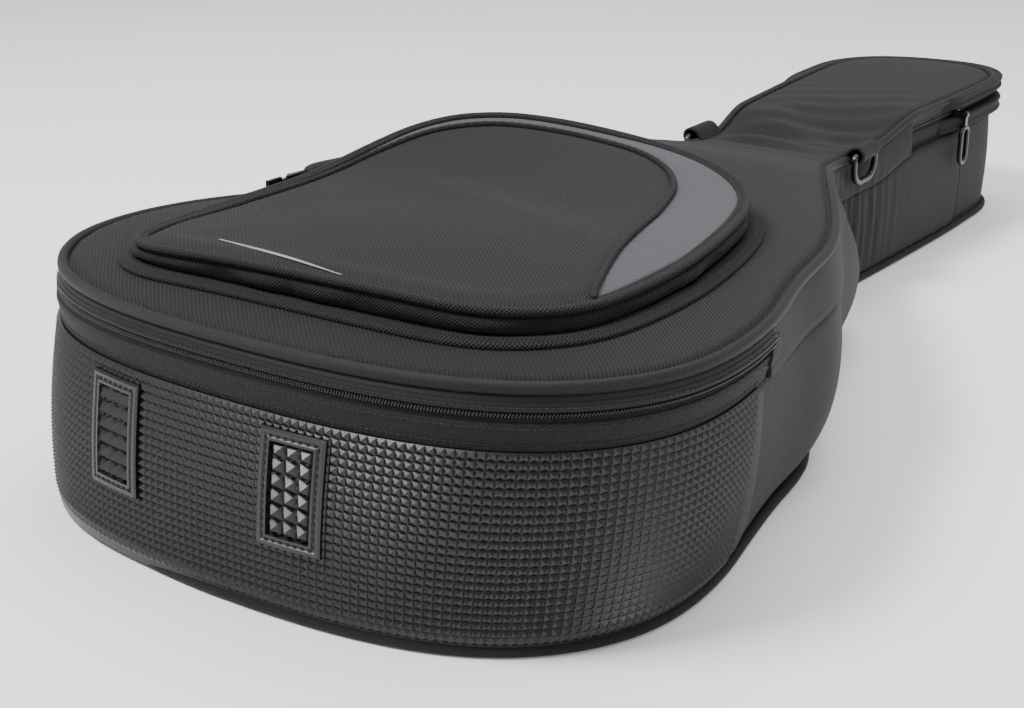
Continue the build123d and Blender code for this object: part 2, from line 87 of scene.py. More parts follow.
class Loop:
    """A closed smooth line through points, read by its length."""

    def __init__(self, points, samples=6000):
        p = np.array(points, float)
        n = len(p)
        h = np.linalg.norm(np.roll(p, -1, axis=0) - p, axis=1)
        before = np.roll(h, 1)
        a = np.zeros((n, n))
        for i in range(n):
            a[i, i] = 2 * (before[i] + h[i])
            a[i, (i + 1) % n] += h[i]
            a[i, (i - 1) % n] += before[i]
        d = 6 * ((np.roll(p, -1, axis=0) - p) / h[:, None]
                 - (p - np.roll(p, 1, axis=0)) / before[:, None])
        m = np.linalg.solve(a, d)
        t = np.concatenate([[0], np.cumsum(h)])
        u = np.linspace(0, t[-1], samples + 1)
        k = np.clip(np.searchsorted(t, u, side="right") - 1, 0, n - 1)
        k1 = (k + 1) % n
        hk = h[k][:, None]
        b = (u - t[k])[:, None] / hk
        a = 1 - b
        q = (a * p[k] + b * p[k1]
             + ((a ** 3 - a) * m[k] + (b ** 3 - b) * m[k1]) * hk ** 2 / 6)
        self.q = q
        self.s = np.concatenate(
            [[0], np.cumsum(np.linalg.norm(np.diff(q, axis=0), axis=1))])
        self.length = self.s[-1]
        tangent = np.gradient(q, axis=0)
        tangent[0] = tangent[-1] = q[1] - q[-2]
        tangent /= np.linalg.norm(tangent, axis=1)[:, None]
        self.normal = np.c_[tangent[:, 1], -tangent[:, 0]]

    def at(self, s, out=0.0):
        """Points at stations s, moved outwards."""
        s, out = np.broadcast_arrays(np.asarray(s, float), out)
        w = np.mod(s, self.length)
        x, y = (np.interp(w, self.s, self.q[:, k]) for k in (0, 1))
        nx, ny = (np.interp(w, self.s, self.normal[:, k]) for k in (0, 1))
        return np.stack([x + nx * out, y + ny * out], axis=-1)

    def station(self, y):
        """Station of the right side's point at y."""
        half = self.q[:len(self.q) // 2]
        return float(np.interp(y, half[:, 1], self.s[:len(half)]))

    def depth(self, xy):
        """How far inside the line each point is."""
        return nearest(xy, self.q[::20])


bag = Loop(HALF_OUTLINE + [(-x, y) for x, y in HALF_OUTLINE[1:-1]][::-1])
L = bag.length
seam_right = bag.station(172)
seam_left = -seam_right
zip_lower = bag.station(188)
zip_upper = bag.station(800)


def zip_z(x, y):
    """Height of the zip line, which sags on the left."""
    x, y = np.asarray(x, float), np.asarray(y, float)
    side = smooth(-60, 60, x)
    rise = smooth(690, 770, y) * (1 - side) + smooth(720, 820, y) * side
    tilt = (-4.0 * x / 216 - 1.9 * (y - 200) / 200) * (1 - smooth(500, 690, y))
    sag = 11 * bump(y, 320, 120) * smooth(90, 190, -x)
    return (ZIP_HEIGHT - NECK_DROP * smooth(480, 680, y) + HEAD_STEP * rise
            + tilt - sag)


def lean(x, y, z):
    """The soft base leans a little towards the near left corner."""
    f = np.clip(1 - z / 150, 0, 1) * (1 - smooth(430, 640, y))
    right = smooth(170, 215, x) * smooth(190, 330, y)
    return x - 12.4 * f * (1 - right), y - 7.7 * f


# --- mesh building
pieces = {}
PLAN = ((1, 0, 0), (0, 1, 0))


def make(name, verts, faces, mats, uvs=None, plane=PLAN, face_mats=None,
         flat=False):
    """A piece from verts in mm. uvs are in mm, one per face corner; without
    them they are read off along the two directions of plane."""
    v = np.array(verts, float).reshape(-1, 3)
    if uvs is None:
        uvs = v[[k for face in faces for k in face]] @ np.array(plane).T
    v[:, 1] -= ORIGIN_Y
    mesh = bpy.data.meshes.new(name)
    mesh.from_pydata((v * 0.001).tolist(), [], [list(f) for f in faces])
    layer = mesh.uv_layers.new(name="UVMap")
    layer.data.foreach_set(
        "uv", (np.asarray(uvs, float).reshape(-1) * 0.001).tolist())
    for m in mats:
        mesh.materials.append(m)
    if face_mats is not None:
        mesh.polygons.foreach_set("material_index", list(face_mats))
    mesh.polygons.foreach_set("use_smooth", [not flat] * len(mesh.polygons))
    mesh.validate()
    mesh.update()
    pieces[name] = bpy.data.objects.new(name, mesh)
    bpy.context.scene.collection.objects.link(pieces[name])


def distances(p, closed):
    """Mean distance covered along the first axis of p."""
    if closed:
        p = np.concatenate([p, p[:1]])
    step = np.linalg.norm(np.diff(p, axis=0), axis=2).mean(1)
    return np.concatenate([[0], np.cumsum(step)])


def grid(name, p, mats, closed=False, col_mats=None):
    """A skin over p of shape (n, m, 3): n closed sections of m points. Its
    ends are capped, unless the row of sections is closed too."""
    n, m = p.shape[:2]
    u, v = distances(p, closed), distances(p.swapaxes(0, 1), True)
    cols = [0] * m if col_mats is None else col_mats
    faces, uvs, face_mats = [], [], []
    for i in range(n if closed else n - 1):
        i1 = (i + 1) % n
        for j in range(m):
            j1 = (j + 1) % m
            faces.append((i * m + j, i1 * m + j, i1 * m + j1, i * m + j1))
            uvs += [(u[i], v[j]), (u[i + 1], v[j]), (u[i + 1], v[j + 1]),
                    (u[i], v[j + 1])]
            face_mats.append(cols[j])
    if not closed:
        for i, order in ((0, range(m)), (n - 1, range(m - 1, -1, -1))):
            faces.append(tuple(i * m + j for j in order))
            uvs += [(u[i] + v[j] * 0.3, v[j]) for j in order]
            face_mats.append(cols[0])
    make(name, p, faces, mats, uvs, face_mats=face_mats)


def double(outer, inner):
    """A closed section: out along outer and back along inner."""
    return np.concatenate([outer, inner[..., ::-1]], axis=-1)


def circle(radius, count):
    a = np.arange(count) / count * TAU
    return np.cos(a) * radius, np.sin(a) * radius


def stations(start, stop, step):
    return np.linspace(start, stop, max(4, int(round((stop - start) / step))))


def sweep(name, s, out, z, mats, base=False, closed=False, col_mats=None):
    """Sweep a section along the bag's outline. out and z are (n, m) or m."""
    out = np.broadcast_to(out, (len(s), np.shape(out)[-1]))
    z = np.broadcast_to(z, out.shape)
    x, y = np.moveaxis(bag.at(s[:, None], out), -1, 0)
    if base:
        x, y = lean(x, y, z)
    grid(name, np.stack([x, y, z], axis=-1), mats, closed, col_mats)


def zl(s):
    """Height of the zip line at stations s."""
    q = bag.at(s)
    return zip_z(q[:, 0], q[:, 1])


def ripple(a, b, seed):
    """Smooth seeded noise on two coordinates, about -1 to 1."""
    rng = np.random.default_rng(seed)
    total = np.zeros(np.broadcast(a, b).shape)
    for _ in range(7):
        fa, fb = rng.uniform(-1, 1, 2)
        total += np.sin(fa * a + fb * b + rng.uniform(0, TAU))
    return total / 3.5


# --- materials
class Maker:
    """A new material with a principled shader, and short hand for nodes."""

    def __init__(self, name):
        self.mat = bpy.data.materials.new(name)
        self.mat.use_nodes = True
        self.nt = self.mat.node_tree
        self.nt.nodes.clear()
        out = self.node("ShaderNodeOutputMaterial")
        self.shader = self.node("ShaderNodeBsdfPrincipled")
        self.link(self.shader.outputs["BSDF"], out.inputs["Surface"])

    def node(self, kind):
        return self.nt.nodes.new(kind)

    def link(self, source, socket):
        self.nt.links.new(source, socket)

    def math(self, operation, *values):
        n = self.node("ShaderNodeMath")
        n.operation = operation
        for socket, value in zip(n.inputs, values):
            if isinstance(value, (int, float)):
                socket.default_value = value
            else:
                self.link(value, socket)
        return n.outputs[0]

    def add(self, a, b):
        return self.math("ADD", a, b)

    def mul(self, a, b):
        return self.math("MULTIPLY", a, b)

    def sine(self, a):
        return self.math("SINE", a)

    def uv(self):
        n = self.node("ShaderNodeUVMap")
        n.uv_map = "UVMap"
        parts = self.node("ShaderNodeSeparateXYZ")
        self.link(n.outputs[0], parts.inputs[0])
        return parts.outputs[0], parts.outputs[1]

    def object_coords(self):
        return self.node("ShaderNodeTexCoord").outputs["Object"]

    def noise(self, vector, scale, detail, rough):
        n = self.node("ShaderNodeTexNoise")
        n.inputs["Scale"].default_value = scale
        n.inputs["Detail"].default_value = detail
        n.inputs["Roughness"].default_value = rough
        self.link(vector, n.inputs["Vector"])
        return n.outputs["Fac"]

    def colour(self, tone, low_at, low, high_at, high):
        """Base colour from low to high as tone rises."""
        n = self.node("ShaderNodeValToRGB")
        for stop, at, col in zip(n.color_ramp.elements, (low_at, high_at),
                                 (low, high)):
            stop.position = at
            stop.color = (*col, 1)
        self.link(tone, n.inputs[0])
        self.link(n.outputs[0], self.shader.inputs["Base Color"])

    def bump(self, height, distance):
        n = self.node("ShaderNodeBump")
        n.inputs["Strength"].default_value = 1
        n.inputs["Distance"].default_value = distance
        self.link(height, n.inputs["Height"])
        self.link(n.outputs[0], self.shader.inputs["Normal"])


def cloth(name, low, high, pitch, weave="twill", depth=0.00035, rough=0.72,
          sheen=0.03, cross=0.35):
    """Woven cloth. low and high are the thread gap's and the thread's colour,
    and pitch is the thread's in mm."""
    k = Maker(name)
    u, v = k.uv()
    coords = k.object_coords()
    f = TAU * 1000 / pitch
    jitter = k.mul(k.noise(coords, 260, 2, 0.5), 1.1)
    if weave == "twill":
        along = k.sine(k.add(k.add(k.mul(u, f), k.mul(v, f)), jitter))
        across = k.sine(k.math("SUBTRACT", k.mul(u, f), k.mul(v, f)))
        height = k.add(k.mul(along, 0.5), k.mul(across, cross * 0.5))
    elif weave == "plain":
        warp, weft = (k.sine(k.add(k.mul(c, f), jitter)) for c in (u, v))
        height = k.mul(k.mul(warp, weft), 0.8)
    else:
        rib = k.sine(k.add(k.mul(v, f), jitter))
        height = k.add(k.mul(rib, 0.6), k.mul(k.sine(k.mul(u, f * 0.5)), 0.15))
    patches = k.noise(coords, 9, 4, 0.65)
    fine = k.noise(coords, 900, 2, 0.5)
    level = k.add(k.mul(height, 0.5), 0.5)
    tone = k.add(k.mul(level, 0.62),
                 k.add(k.mul(patches, 0.3), k.mul(fine, 0.12)))
    k.colour(tone, 0.28, low, 0.80, high)
    k.link(k.add(k.mul(patches, 0.12), rough - 0.06),
           k.shader.inputs["Roughness"])
    k.shader.inputs["Sheen Weight"].default_value = sheen
    k.shader.inputs["Sheen Roughness"].default_value = 0.45
    k.shader.inputs["Specular IOR Level"].default_value = 0.28
    k.bump(k.add(height, k.mul(fine, 0.35)), depth)
    return k.mat


def solid_material(name, low, high, rough, grain=600, metallic=0.0, spec=0.5,
                   coat=0.0):
    k = Maker(name)
    coords = k.object_coords()
    patches = k.noise(coords, 14, 4, 0.6)
    fine = k.noise(coords, grain, 3, 0.6)
    k.colour(k.add(k.mul(patches, 0.7), k.mul(fine, 0.3)),
             0.3, low, 0.75, high)
    k.link(k.add(k.mul(patches, 0.16), rough - 0.08),
           k.shader.inputs["Roughness"])
    k.shader.inputs["Metallic"].default_value = metallic
    k.shader.inputs["Specular IOR Level"].default_value = spec
    k.shader.inputs["Coat Weight"].default_value = coat
    k.bump(fine, 0.00008)
    return k.mat


shell = cloth("shell_weave", (0.0008, 0.0008, 0.0009),
              (0.0120, 0.0118, 0.0126), 3.1, depth=0.0006, cross=0.06)
side_cloth = cloth("side_weave", (0.0028, 0.0026, 0.0034),
                   (0.0110, 0.0102, 0.0128), 2.4, depth=0.00022, sheen=0.05)
binding = cloth("binding_weave", (0.0015, 0.0015, 0.0016),
                (0.0105, 0.0105, 0.011), 1.5, "plain")
coarse = cloth("coarse_weave", (0.0010, 0.0010, 0.0012),
               (0.017, 0.017, 0.0185), 2.3, "plain", depth=0.0007)
smooth_band = cloth("smooth_band", (0.0032, 0.0032, 0.0034),
                    (0.0095, 0.0095, 0.010), 0.9, "rib", depth=0.00008,
                    rough=0.6)
piping_cloth = cloth("piping_weave", (0.0012, 0.0012, 0.0013),
                     (0.010, 0.010, 0.011), 1.2, depth=0.00018, rough=0.58)
accent = cloth("accent_weave", (0.030, 0.028, 0.034), (0.088, 0.082, 0.098),
               1.3, "plain", depth=0.00025, rough=0.68, sheen=0.12)
webbing = cloth("webbing_rib", (0.0015, 0.0015, 0.0015),
                (0.010, 0.010, 0.0105), 2.0, "rib", depth=0.0005, rough=0.65)
lining = cloth("lining_pile", (0.008, 0.008, 0.0085), (0.028, 0.028, 0.030),
               0.8, "plain", depth=0.0002, rough=0.95, sheen=0.25)
tape = cloth("zip_tape", (0.0015, 0.0015, 0.0015), (0.008, 0.008, 0.0085), 1.0,
             "rib", depth=0.0002, rough=0.75)
rubber = solid_material("bumper_rubber", (0.0020, 0.0020, 0.0022),
                        (0.0052, 0.0052, 0.0057), 0.34, grain=1400)
teeth = solid_material("zip_teeth", (0.0016, 0.0016, 0.0016),
                       (0.005, 0.005, 0.005), 0.4)
metal = solid_material("ring_gloss", (0.003, 0.003, 0.0032),
                       (0.007, 0.007, 0.0074), 0.34, spec=0.4, coat=0.15)
thread = solid_material("thread", (0.004, 0.004, 0.004),
                        (0.018, 0.018, 0.019), 0.7)
silver = solid_material("silver_print", (0.38, 0.38, 0.40),
                        (0.62, 0.62, 0.64), 0.3, metallic=0.7)


# --- base walls
def wall_piece(name, start, stop, bulge, pleats=None, step=4.0):
    """A padded wall: outer cloth and inner lining, closed at its edges."""
    s = stations(start, stop, step)
    y = bag.at(s)[:, 1][:, None]
    top = (zl(s) + WALL_TOP)[:, None]
    t, t_in = np.linspace(0, 1, 17)[None], np.linspace(1, 0, 6)[None]
    z, z_in = (WALL_LOW + (top - WALL_LOW) * part for part in (t, t_in))
    out = bulge(y, t) + np.zeros(z.shape)
    if pleats is not None:
        out = out + pleats(z, y, t)
    sweep(name, s, np.concatenate([out, np.full(z_in.shape, -10.0)], axis=1),
          np.concatenate([z, z_in], axis=1), [side_cloth, lining], base=True,
          col_mats=[0] * 17 + [1] * 6)


def right_bulge(y, t):
    """The right wall swells, most of all beside the waist."""
    full = 0.775 * t
    before_join = 1 - smooth(560, 622, y)
    waist = smooth(430, 545, y) * (1 - smooth(588, 622, y))
    swell = 3 + 12 * smooth(150, 330, y) * before_join + 13 * waist
    spread = 11 * smooth(390, 500, y) * before_join
    return (swell * np.sin(np.pi * full ** 0.8) ** 0.9 - 0.8
            + spread * (1 - full) ** 2)


def bout_bulge(y, t):
    swell = 3.0 + 14.0 * smooth(150, 330, y) * (1 - smooth(540, 640, y))
    return swell * np.sin(np.pi * np.clip(t, 0, 1) ** 0.8) ** 0.9 - 0.8


def near_bulge(t):
    return 2.5 * np.sin(np.pi * t) - 2.0 * (1 - t) ** 3


def head_bulge(y, t):
    return 2.0 * np.sin(np.pi * t) - 1.0 + 0 * y


def neck_bulge(y, t):
    """Carries the right wall's swelling over into the neck wall."""
    join = 1 - smooth(604, 640, y)
    return (head_bulge(y, t) * (1 - join)
            + right_bulge(np.minimum(y, JOIN_Y), t) * join)


def neck_pleats(z, y, t):
    zone = bump(y, 628, 44) + 0.4 * bump(y, 700, 60)
    folds = (2.2 * np.sin(y / 2.5 + 0.9 * np.sin(z / 26))
             + 1.5 * np.sin(y / 4.1 + 0.6 * np.sin(z / 17) + 1.3)
             + 0.7 * np.sin(y / 1.5 + z / 40))
    return folds * zone * np.sin(np.pi * np.clip(t * 0.9 + 0.08, 0, 1))


def left_flare(s):
    """How far the near left corner spreads at its foot."""
    return 8.0 * bump(np.mod(s, L), L - 290, 150)


bout_right, neck_right = bag.station(JOIN_Y), bag.station(928)
bout_left, neck_left = L - bout_right, L - neck_right
wall_piece("gusset_bottom", seam_left, seam_right,
           lambda y, t: near_bulge(t) - 0.6)
wall_piece("gusset_right_bout", seam_right, bout_right, right_bulge,
           neck_pleats, 2.2)
wall_piece("gusset_left_bout", bout_left, L + seam_left, bout_bulge,
           neck_pleats, 3.0)
wall_piece("gusset_right_neck", bout_right, neck_right, neck_bulge,
           neck_pleats, 2.2)
wall_piece("gusset_left_neck", neck_left, bout_left, head_bulge, neck_pleats,
           3.0)
wall_piece("gusset_headstock", neck_right, neck_left, head_bulge)


# --- bumper
def up_wall(z):
    """From 0 at the wall's foot to 1 at the bumper's top."""
    return (z - WALL_LOW) / (BUMPER_HIGH - WALL_LOW)


def bumper_surface(s, z, rise):
    """Points at a height above the bumper's surface."""
    t = up_wall(z)
    q = bag.at(s)
    out = near_bulge(t) + 1.2 + rise
    flare = left_flare(s) * np.clip(1 - z / BUMPER_HIGH, 0, 1)
    xy = bag.at(s, out + flare)
    tilted = z + (zip_z(q[..., 0], q[..., 1]) - ZIP_HEIGHT) * np.clip(t, 0, 1)
    x, y = lean(xy[..., 0], xy[..., 1], z)
    return np.stack([x, y, tilted], axis=-1)


def pyramids(s, z, low, rise, first):
    """Square pyramids between the lines s and z. Their corners come first."""
    m = len(z)
    feet = bumper_surface(s[:, None], z[None], low)
    tips = bumper_surface(((s[1:] + s[:-1]) / 2)[:, None],
                          ((z[1:] + z[:-1]) / 2)[None], low + rise)
    faces = []
    for i in range(len(s) - 1):
        for j in range(m - 1):
            a = first + i * m + j
            corners = (a, a + m, a + m + 1, a + 1)
            tip = first + len(s) * m + i * (m - 1) + j
            faces += [(p, q, tip)
                      for p, q in zip(corners, corners[1:] + corners[:1])]
    return np.concatenate([feet.reshape(-1, 3), tips.reshape(-1, 3)]), faces


def studded_panel(name, start, stop, columns, rows):
    """The bumper: a panel of small square pyramids, closed behind."""
    sink = 1.6
    s = np.linspace(start, stop, columns + 1)
    z = np.linspace(BUMPER_LOW, BUMPER_HIGH, rows + 1)
    fade = smooth(-0.2, 2.2, np.arange(rows))[None]
    front, faces = pyramids(s, z, sink, 2.0 * fade, 0)
    back = bumper_surface(s[:, None], z[None], sink - 2.2)
    m, b = rows + 1, len(front)
    for i in range(columns):
        for j in range(rows):
            a = b + i * m + j
            faces.append((a, a + 1, a + m + 1, a + m))
        low, top = i * m, i * m + rows
        faces += [(low, b + low, b + low + m, low + m),
                  (top, top + m, b + top + m, b + top)]
    for j in range(rows):
        a = columns * m + j
        faces += [(j, j + 1, b + j + 1, b + j), (a, b + a, b + a + 1, a + 1)]
    make(name, np.concatenate([front, back.reshape(-1, 3)]), faces, [rubber],
         plane=((0.7, 0.7, 0), (0, 0, 1)), flat=True)


def skin_faces(n, m, first=0):
    """Quads between n closed rings of m points."""
    return [(first + i * m + j, first + i * m + (j + 1) % m,
             first + (i + 1) * m + (j + 1) % m, first + (i + 1) * m + j)
            for i in range(n - 1) for j in range(m)]


FOOT_CENTRES = {"left": -86.0, "right": 45.0}
FOOT_HALF, FOOT_LOW, FOOT_HIGH = 20.5, 45.0, 111.0
# inset from the foot's edge, and height above the bumper
FOOT_FRAME = [(0, 0.5), (0, 4.2), (1.2, 5.0), (3.0, 5.0), (3.6, 4.2),
              (4.6, 4.2), (5.2, 5.0), (6.6, 5.0), (7.4, 2.6)]


def foot_ring(centre, inset, ns=12, nz=18):
    """Stations and heights round a foot, inside its edge."""
    s0, s1 = centre - FOOT_HALF + inset, centre + FOOT_HALF - inset
    z0, z1 = FOOT_LOW + inset, FOOT_HIGH - inset
    corners = np.cumsum([0, ns, nz, ns, nz])
    k = np.arange(corners[-1])
    return (np.interp(k, corners, [s0, s1, s1, s0, s0]),
            np.interp(k, corners, [z0, z0, z1, z1, z0]))


def foot(name, centre):
    """Frame with a stitched groove around three by six large pyramids."""
    rings = np.stack([bumper_surface(*foot_ring(centre, inset), rise)
                      for inset, rise in FOOT_FRAME])
    inset = FOOT_FRAME[-1][0]
    inner, tips = pyramids(
        np.linspace(centre - FOOT_HALF + inset, centre + FOOT_HALF - inset, 4),
        np.linspace(FOOT_LOW + inset, FOOT_HIGH - inset, 7),
        2.2, 4.8, rings.shape[0] * rings.shape[1])
    faces = skin_faces(*rings.shape[:2]) + tips
    faces.append(tuple(range(rings.shape[1])))
    make(name, np.concatenate([rings.reshape(-1, 3), inner]), faces, [rubber],
         plane=((1, 0, 0), (0, 0, 1)), flat=True)


def stitch_mesh(name, starts, ends, ups, radius):
    """Small rounded stitches, each a five-sided bar with tapered ends."""
    verts, faces = [], []
    for a, b, up in zip(starts, ends, ups):
        d = b - a
        length = np.linalg.norm(d)
        d = d / length
        side = np.cross(d, up)
        side /= np.linalg.norm(side)
        normal = np.cross(side, d)
        first = len(verts)
        for t, r, lift in ((0, 0.35, -0.5), (0.25, 1, 0.35), (0.75, 1, 0.35),
                           (1, 0.35, -0.5)):
            c = a + d * length * t + normal * radius * lift
            for i in range(5):
                w = i / 5 * TAU
                verts.append(c + radius * r * (side * math.cos(w)
                                               + normal * math.sin(w)))
        faces += skin_faces(4, 5, first)
        faces.append(tuple(first + i for i in range(4, -1, -1)))
        faces.append(tuple(first + 15 + i for i in range(5)))
    make(name, verts, faces, [thread])


def foot_stitches(name, centre, inset=4.1, pitch=4.2, half_length=1.5):
    """Stitches along the four sides of a foot's groove."""
    ends = ([], [], [])
    half, low, high = FOOT_HALF - inset, FOOT_LOW + inset, FOOT_HIGH - inset
    lines = [((centre - half, z), (centre + half, z)) for z in (low, high)]
    lines += [((s, low), (s, high)) for s in (centre - half, centre + half)]
    for a, b in lines:
        a, b = np.array(a), np.array(b)
        length = np.linalg.norm(b - a)
        count = int(length / pitch)
        reach = (b - a) / length * half_length
        for i in range(count):
            c = a + (b - a) * (i + 0.5) / count
            p, q = (bumper_surface(*(c + d), 4.4) for d in (-reach, reach))
            up = bumper_surface(*c, 14.4) - (p + q) / 2
            for row, value in zip(ends, (p, q, up)):
                row.append(value)
    stitch_mesh(name, *ends, 0.5)


studded_panel("end_bumper", seam_left, seam_right, 128, 24)
for label, centre in FOOT_CENTRES.items():
    foot("bumper_foot_" + label, centre)
    foot_stitches("foot_stitches_" + label, centre)

for label, start, stop in (("right", seam_right + 0.3, seam_right + 17),
                           ("left", seam_left - 17, seam_left - 0.3)):
    s = stations(start, stop, 3)
    t = np.linspace(0, 1, 14)
    o = bout_bulge(bag.at(s)[:, 1][:, None], t[None])
    z = 9 + 108 * t
    sweep("seam_binding_" + label, s, double(o + 1.6, o + 0.3), double(z, z),
          [smooth_band], base=True)

# --- back
ALL = stations(0, L, 5)[:-1]
cord_o, cord_z = circle(3.3, 10)
q = bag.at(ALL)
signed = np.where(ALL > L / 2, ALL - L, ALL)
left_out = -6.2 + 5.6 * smooth(-150, 10, signed) + left_flare(ALL)
right_out = (1.5 * smooth(20, 330, q[:, 1])
             + 10 * smooth(390, 500, q[:, 1])
             * (1 - smooth(560, 622, q[:, 1])) * (q[:, 0] > 0))
sweep("back_piping", ALL, (left_out + right_out)[:, None] + cord_o[None],
      3.5 + cord_z, [binding], base=True, closed=True)


def panel(name, out, top_of, bottom_of, mat, base=False, nx=46, ny=150):
    """A closed panel: upper and lower sheets inside the bag's outline, with
    narrow rows of faces along their edges."""
    count = len(bag.q) // 2 + 1
    rim = bag.at(bag.s[:count], out)
    y0, y1 = rim[0, 1], rim[-1, 1]
    fine = np.array([0, 1.2, 2.4, 3.6, 4.8, 6.2, 8, 11, 15, 20])
    ys = np.concatenate([y0 + fine,
                         np.linspace(y0 + 20, y1 - 20, ny - 18)[1:-1],
                         y1 - fine[::-1]])
    ys[0] += 0.02
    ys[-1] -= 0.02
    w = np.maximum(np.interp(ys, rim[:, 1], rim[:, 0]), 0.5)[:, None]
    scale = np.minimum(1, w / 45)
    middle = (w - 20 * scale) * np.linspace(-1, 1, nx - 18)[None, 1:-1]
    x = np.concatenate([-w + fine[None] * scale, middle,
                        w - fine[None, ::-1] * scale], axis=1)
    ny, nx = x.shape
    y = np.repeat(ys[:, None], nx, axis=1)
    sheets = [np.stack([x, y, height(x, y)], axis=-1)
              for height in (top_of, bottom_of)]
    if base:
        for t in sheets:
            t[..., 0], t[..., 1] = lean(t[..., 0], t[..., 1], t[..., 2])
    k = ny * nx
    faces = []
    for i in range(ny - 1):
        for j in range(nx - 1):
            a = i * nx + j
            faces += [(a, a + 1, a + 1 + nx, a + nx),
                      (k + a, k + a + nx, k + a + 1 + nx, k + a + 1)]
    ids = np.arange(k).reshape(ny, nx)
    edge = np.concatenate([ids[0, :-1], ids[:-1, -1], ids[-1, :0:-1],
                           ids[:0:-1, 0]]).tolist()
    faces += [(b, a, k + a, k + b) for a, b in zip(edge, edge[1:] + edge[:1])]
    make(name, np.stack(sheets), faces, [mat])


def level(height):
    return lambda x, y: np.full(np.shape(x), float(height))


panel("back_panel", -9.5, level(8.0), level(0.4), shell, base=True)
panel("lining_back", -10.5,
      lambda x, y: 10.3 + 0.5 * ripple(x / 26, y / 26, 3), level(8.05),
      lining, base=True, nx=36, ny=110)

# --- zip and bands
main_zip = stations(zip_upper, L + zip_lower, 4.0)


def zip_out(s):
    """The zip stands a little proud around the lower bout."""
    return 5.0 * (1 - smooth(380, 620, bag.at(s)[:, 1])) - 0.5


def band(name, profile, mat, base):
    """Sweep a closed section given relative to the zip line."""
    pts = np.array(profile, float)
    sweep(name, main_zip, pts[None, :, 0] + zip_out(main_zip)[:, None],
          zl(main_zip)[:, None] + pts[None, :, 1], [mat], base=base)


band("base_binding",
     [(-10, -20), (-2.6, -20), (-2.0, -17), (-0.6, -11), (0.4, -5.4),
      (0.2, -4.0), (-1.0, -3.6), (-2.0, -4.2), (-10, -6)], binding, True)
band("base_zip_tape", [(-1.6, -7), (-0.9, -7), (-0.7, -1.2), (-1.4, -1.2)],
     tape, True)
band("lid_zip_tape", [(-1.4, 1.2), (-0.7, 1.2), (-0.9, 7), (-1.6, 7)], tape,
     False)

w = zip_out(main_zip)
lip_o = [w - 0.9, w + 0.3, w + 0.2, w * 0.75 + 0.3, w * 0.35 + 1.2,
         0 * w + 1.4, 0 * w - 8, 0 * w - 8, w - 4]
lip_z = np.array([2.6, 2.4, 3.6, 6.0, 8.6, 10.4, 10.4, 6.4, 4.0])
sweep("lid_lip_band", main_zip, np.stack(lip_o, axis=1),
      zl(main_zip)[:, None] + lip_z, [smooth_band])


def teeth_row(name, low, high, base, shift, pitch=1.7):
    """Coil teeth, one small rounded bar each."""
    count = int((L + zip_lower - zip_upper) / pitch)
    s = zip_upper + (np.arange(count) + 0.5 + shift) * pitch
    section = np.array([(-1.4, low), (-0.1, low + 0.1),
                        (0.3, (low + high) / 2), (-0.1, high - 0.1),
                        (-1.4, high)])
    ends = np.array([-0.48, 0.48])
    shape = (count, 2, 5)
    at = np.broadcast_to((s[:, None] + ends)[..., None], shape)
    out = np.broadcast_to(zip_out(s)[:, None, None] + section[:, 0], shape)
    z = np.broadcast_to(zl(s)[:, None, None] + section[:, 1], shape)
    x, y = np.moveaxis(bag.at(at, out), -1, 0)
    if base:
        x, y = lean(x, y, z)
    faces = []
    for a in range(0, count * 10, 10):
        faces += [(a + j, a + 5 + j, a + 6 + j, a + 1 + j) for j in range(4)]
        faces += [(a + 4, a + 9, a + 5, a), tuple(range(a, a + 5)),
                  tuple(range(a + 9, a + 4, -1))]
    make(name, np.stack([x, y, z], axis=-1), faces, [teeth])


teeth_row("base_zip_coil", -1.25, 0.3, True, 0)
teeth_row("lid_zip_coil", -0.3, 1.25, False, 0.5)


def run_stitches(name, start, stop, out, dz, base, pitch=3.4, length=2.3):
    """A line of stitches that follows the zip line at a given height."""
    count = int((stop - start) / pitch)
    s = start + (np.arange(count) + 0.5) * pitch
    ends = []
    for t in (s - length / 2, s + length / 2):
        x, y = bag.at(t, zip_out(t) + out).T
        z = zl(t) + dz
        if base:
            x, y = lean(x, y, z)
        ends.append(np.stack([x, y, z], axis=1))
    up = np.column_stack([bag.at(s, 1.0) - bag.at(s), np.zeros(count)])
    stitch_mesh(name, *ends, up, 0.35)


run_stitches("lip_stitches", zip_upper, L + zip_lower, 0.35, 4.2, False)
run_stitches("binding_stitches", zip_upper, L + zip_lower, 0.15, -6.6, True)
run_stitches("binding_stitches_low", seam_left, seam_right, -1.6, -16.0, True)

# --- lid
cord_o, cord_z = circle(3.4, 12)
sweep("lid_piping", ALL, 0.4 + cord_o, zl(ALL)[:, None] + 13.0 + cord_z[None],
      [piping_cloth], closed=True)


